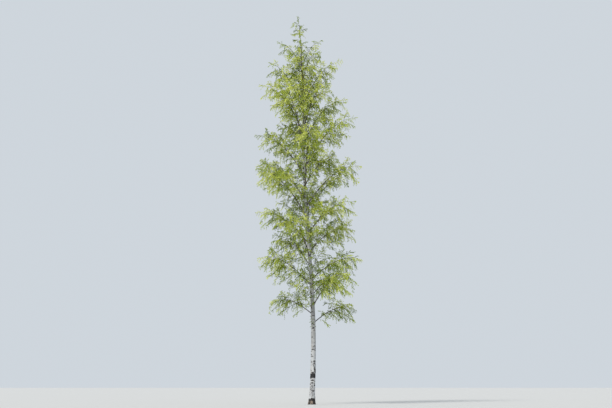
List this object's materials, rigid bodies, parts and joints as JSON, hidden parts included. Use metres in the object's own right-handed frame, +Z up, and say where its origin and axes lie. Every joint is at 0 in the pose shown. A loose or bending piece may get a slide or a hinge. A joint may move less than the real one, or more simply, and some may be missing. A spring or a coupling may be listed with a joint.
{
  "type": "birch tree",
  "caption": "Tall single-stemmed birch with white, black-marked bark, thin dark boughs and an airy yellow-green spring crown, rooted at a flat ground cut.",
  "frame": {"origin": "middle of the flat cut under the trunk at ground level", "axes": "+Z up along the stem, -Y towards the viewer of the picture, +X to the viewer's right"},
  "size_m": [5.9889, 6.5027, 21.9964],
  "materials": {
    "bark": "matt white peeling bark with black marks",
    "bough_bark": "matt dark brown bark",
    "leaves": "fresh satin leaves"
  },
  "bodies": {
    "root": {"trunk": "bark", "bough_01": "bough_bark", "bough_02": "bough_bark", "bough_03": "bough_bark", "bough_04": "bough_bark", "bough_05": "bough_bark", "bough_06": "bough_bark", "bough_07": "bough_bark", "bough_08": "bough_bark", "bough_09": "bough_bark", "bough_10": "bough_bark", "bough_11": "bough_bark", "bough_12": "bough_bark", "bough_13": "bough_bark", "bough_14": "bough_bark", "bough_15": "bough_bark", "bough_16": "bough_bark", "bough_17": "bough_bark", "bough_18": "bough_bark", "bough_19": "bough_bark", "bough_20": "bough_bark", "bough_21": "bough_bark", "bough_22": "bough_bark", "bough_23": "bough_bark", "foliage_01": "leaves", "foliage_02": "leaves", "foliage_03": "leaves", "foliage_04": "leaves", "foliage_05": "leaves", "foliage_06": "leaves", "foliage_07": "leaves", "foliage_08": "leaves", "foliage_09": "leaves", "foliage_10": "leaves", "foliage_11": "leaves", "foliage_12": "leaves", "foliage_13": "leaves", "foliage_14": "leaves", "foliage_15": "leaves", "foliage_16": "leaves", "foliage_17": "leaves", "foliage_18": "leaves", "foliage_19": "leaves", "foliage_20": "leaves", "foliage_21": "leaves", "foliage_22": "leaves", "foliage_23": "leaves", "foliage_24": "leaves", "foliage_25": "leaves", "foliage_26": "leaves", "foliage_27": "leaves", "foliage_28": "leaves", "foliage_29": "leaves", "foliage_30": "leaves", "foliage_31": "leaves", "foliage_32": "leaves", "foliage_33": "leaves", "foliage_top": "leaves"}
  },
  "joints": []
}
